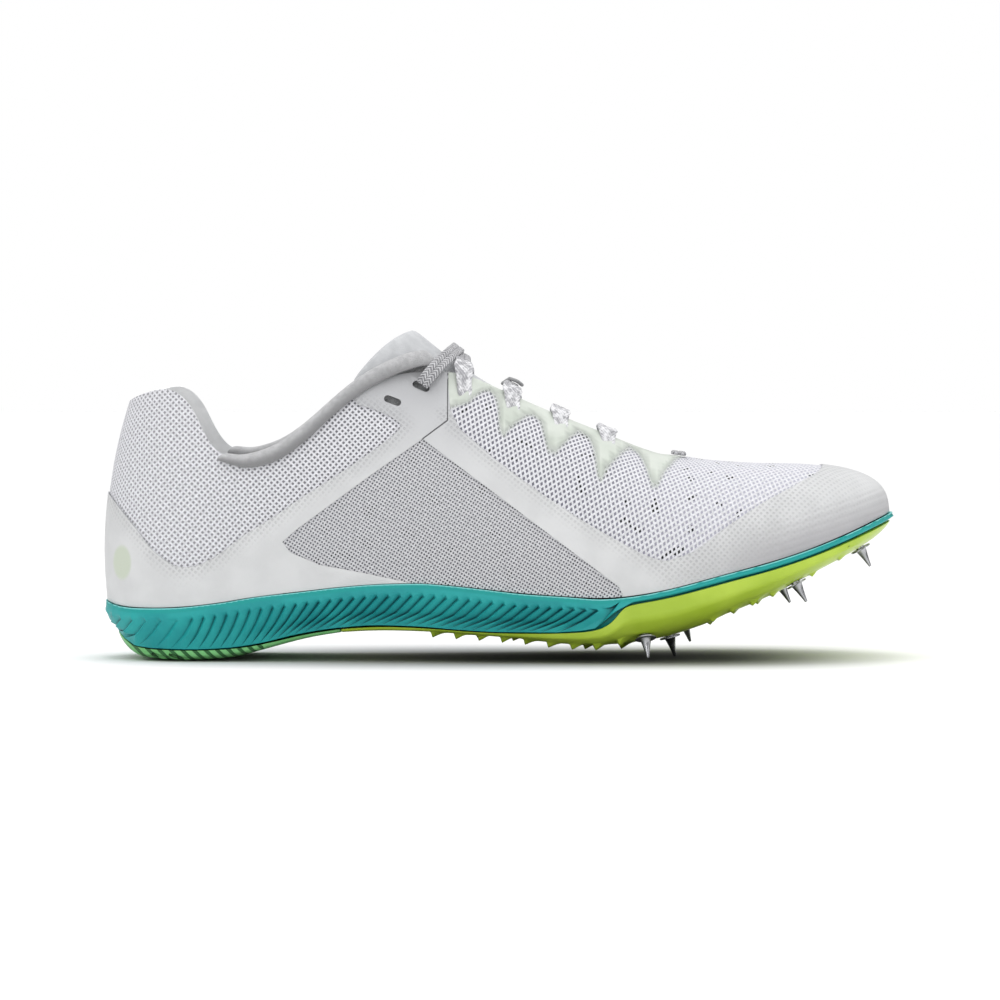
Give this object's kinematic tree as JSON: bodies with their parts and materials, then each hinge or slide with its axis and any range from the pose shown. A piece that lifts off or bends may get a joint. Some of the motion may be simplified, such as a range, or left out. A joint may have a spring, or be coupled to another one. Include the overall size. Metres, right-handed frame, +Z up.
{
  "type": "track spike shoe",
  "caption": "Low running shoe for the track with a meshed and filmed upper, lace loops, a ribbed foam midsole and a spiked forefoot plate; stands on its heel pad and spikes.",
  "frame": {"origin": "on the ground, at the middle of the flat pad under the heel", "axes": "+X from heel to toe, +Y to the inner side of the foot, +Z up"},
  "size_m": [0.2882, 0.0958, 0.1203],
  "materials": {
    "mesh": "pale knitted mesh, dull",
    "lining": "soft padded lining",
    "insole": "thin foam pad, fabric faced",
    "tongue": "thin padded textile",
    "midsole": "teal foam, satin",
    "heel_rubber": "green rubber, dull",
    "plate": "lime plastic, semi-gloss",
    "spike": "satin steel",
    "film": "welded film, satin",
    "fin": "translucent film, satin",
    "lace": "flat braided lace"
  },
  "bodies": {
    "root": {"upper": "mesh", "tongue": "tongue", "insole": "insole", "midsole": "midsole", "heel_outsole": "heel_rubber", "spike_plate": "plate", "spike_rear_centre": "spike", "spike_rear_lateral": "spike", "spike_rear_medial": "spike", "spike_front_lateral": "spike", "spike_front_medial": "spike", "spike_toe": "spike", "film_overlay": "film", "lace_loops_lateral": "fin", "lace_loops_medial": "fin", "collar_roll_lateral": "lining", "collar_roll_medial": "lining", "lace": "lace", "lace_keeper": "lining"}
  },
  "joints": []
}
